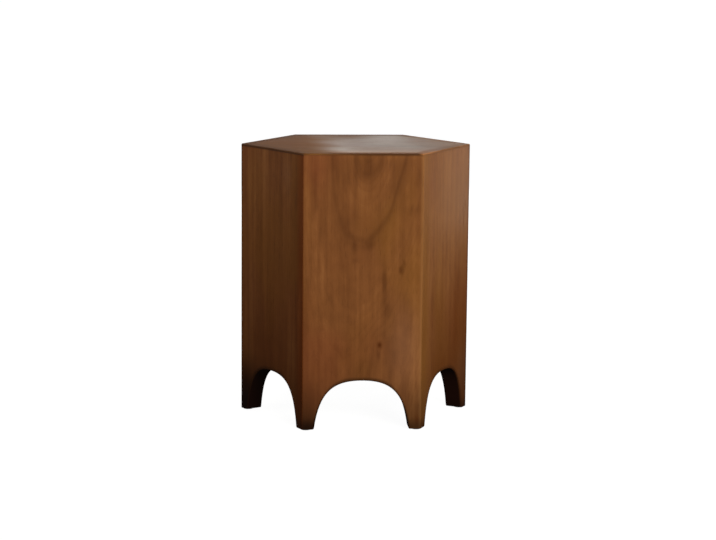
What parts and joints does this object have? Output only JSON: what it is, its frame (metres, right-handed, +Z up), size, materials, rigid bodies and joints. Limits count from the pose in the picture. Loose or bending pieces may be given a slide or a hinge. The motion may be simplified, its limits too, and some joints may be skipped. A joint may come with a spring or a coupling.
{
  "type": "side table",
  "caption": "Hexagonal wooden drum side table with mitred upright panels, each with an arched cut-out that leaves pointed feet at the corners, under a flat mitred top.",
  "frame": {"origin": "on the floor under the middle of the top", "axes": "+Z up; the front panel faces -Y; two corners of the hexagon lie on the X axis"},
  "size_m": [0.399, 0.3464, 0.47],
  "materials": {
    "panel_wood": "satin brown stain",
    "top_wood": "satin brown stain",
    "inner_wood": "planed, lightly stained",
    "spline_plywood": "sanded plywood",
    "felt": "pressed wool felt",
    "screw_steel": "yellow zinc plated"
  },
  "bodies": {
    "root": {"side_panel_front": "panel_wood", "top_cleat_front": "inner_wood", "side_panel_front_right": "panel_wood", "top_cleat_front_right": "inner_wood", "side_panel_back_right": "panel_wood", "top_cleat_back_right": "inner_wood", "side_panel_back": "panel_wood", "top_cleat_back": "inner_wood", "side_panel_back_left": "panel_wood", "top_cleat_back_left": "inner_wood", "side_panel_front_left": "panel_wood", "top_cleat_front_left": "inner_wood", "corner_spline_front_right": "spline_plywood", "corner_block_front_right": "inner_wood", "foot_pad_front_right": "felt", "corner_spline_right": "spline_plywood", "corner_block_right": "inner_wood", "foot_pad_right": "felt", "corner_spline_back_right": "spline_plywood", "corner_block_back_right": "inner_wood", "foot_pad_back_right": "felt", "corner_spline_back_left": "spline_plywood", "corner_block_back_left": "inner_wood", "foot_pad_back_left": "felt", "corner_spline_left": "spline_plywood", "corner_block_left": "inner_wood", "foot_pad_left": "felt", "corner_spline_front_left": "spline_plywood", "corner_block_front_left": "inner_wood", "foot_pad_front_left": "felt", "top_board_front": "top_wood", "top_board_middle": "top_wood", "top_board_back": "top_wood", "cleat_screws": "screw_steel", "top_screws": "screw_steel"}
  },
  "joints": []
}
